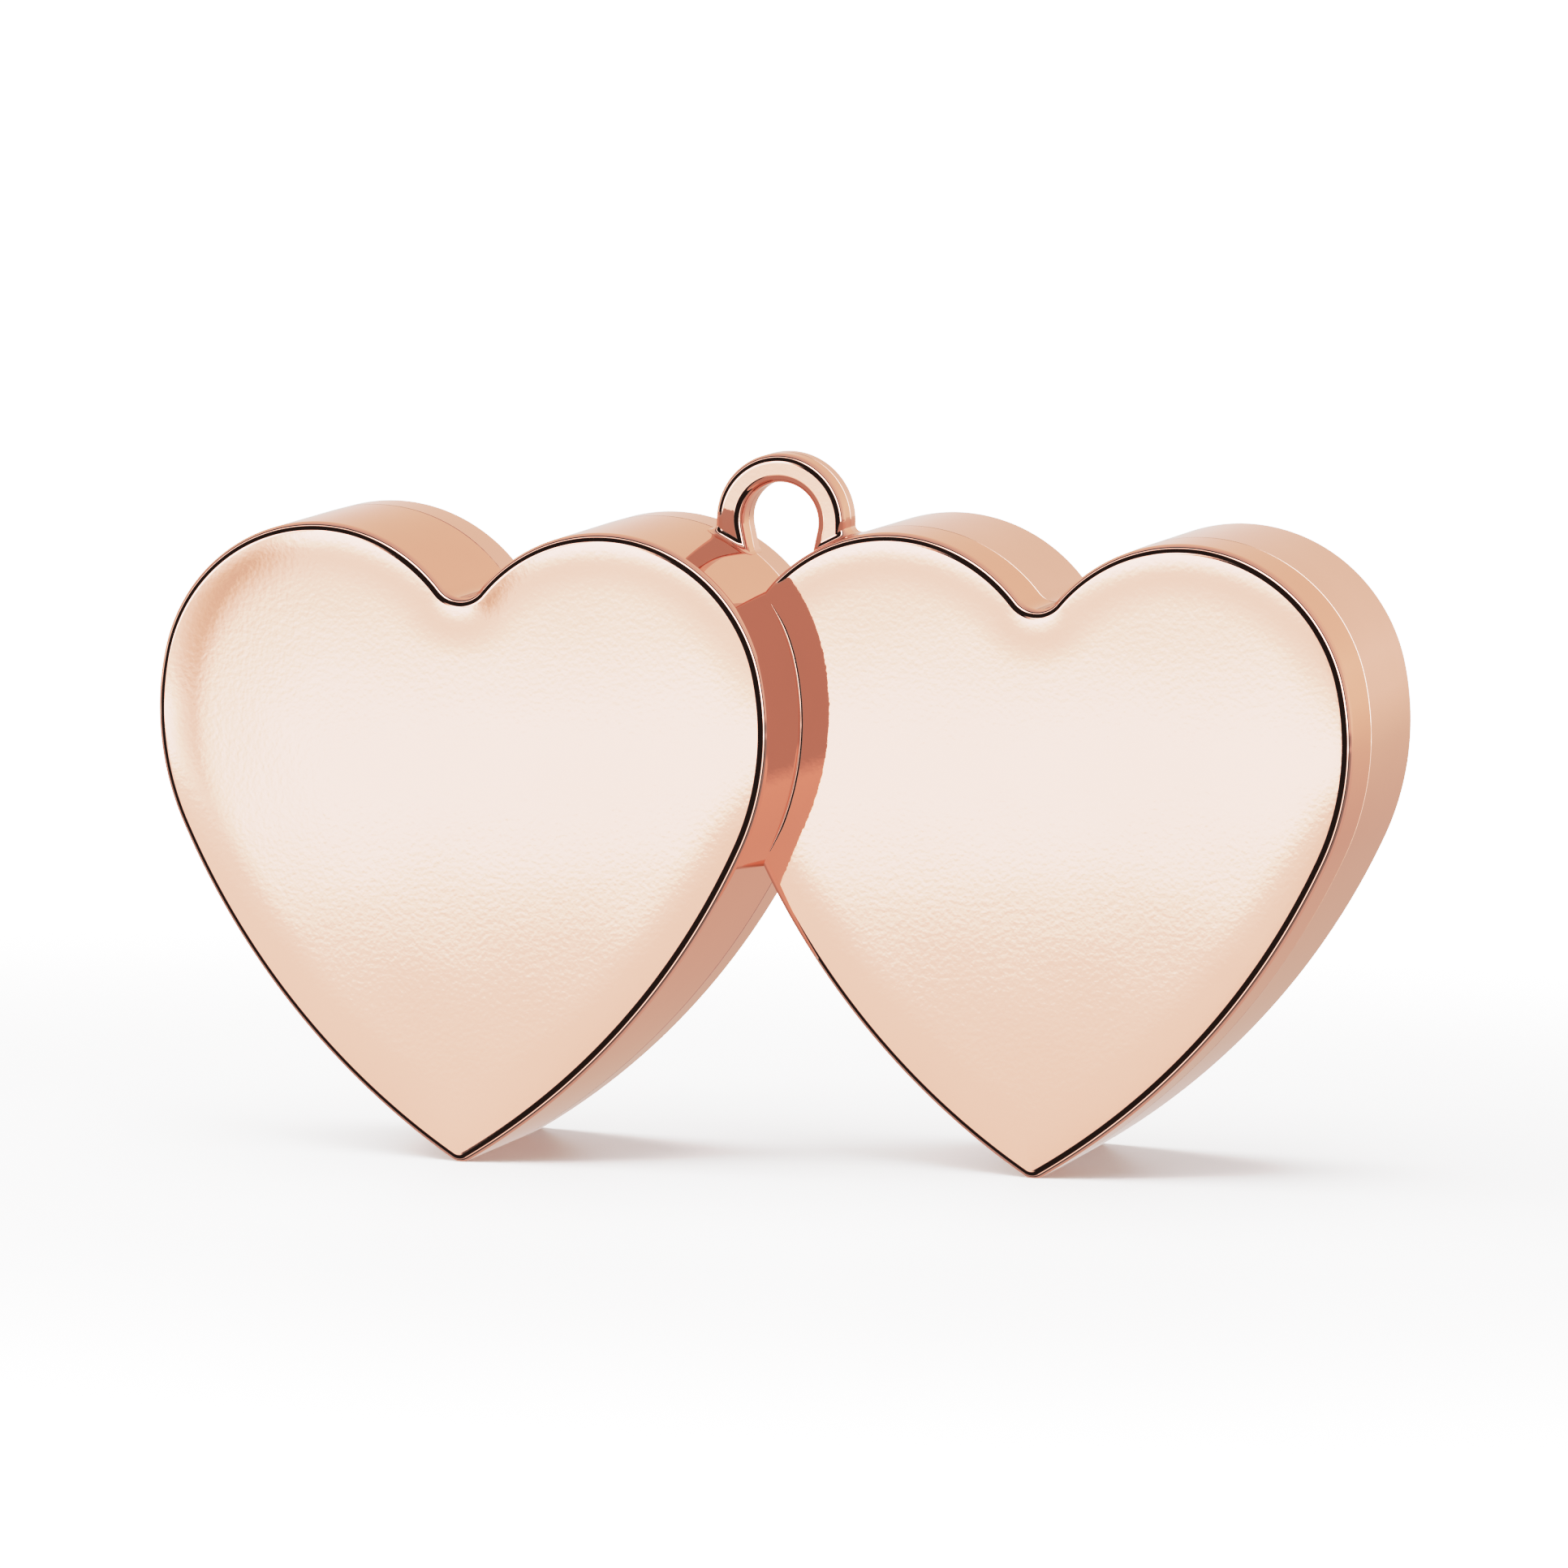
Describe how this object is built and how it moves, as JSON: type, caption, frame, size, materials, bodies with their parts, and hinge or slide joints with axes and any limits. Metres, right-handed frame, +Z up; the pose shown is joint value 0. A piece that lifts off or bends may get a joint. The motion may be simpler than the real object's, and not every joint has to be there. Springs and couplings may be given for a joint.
{
  "type": "twin-heart balloon weight",
  "caption": "Free-standing party balloon weight: a pair of overlapping, staggered heart shells in metallised plastic, filled with sand, with a ring on top for the ribbon",
  "frame": {"origin": "on the surface that the weight stands on, under the middle of the pair of hearts", "axes": "+X runs along the pair, +Y runs from the fronts to the backs, +Z is up; the left heart, at -X, stands in front"},
  "size_m": [0.12, 0.0334, 0.0698],
  "materials": {
    "metallised_shell": "vacuum-metallised rose gold under a clear lacquer",
    "plug": "satin moulded",
    "sand": "dry, fine and loose"
  },
  "bodies": {
    "root": {"front_shell": "metallised_shell", "rear_shell": "metallised_shell", "sand_filling": "sand", "filling_plug": "plug"}
  },
  "joints": []
}
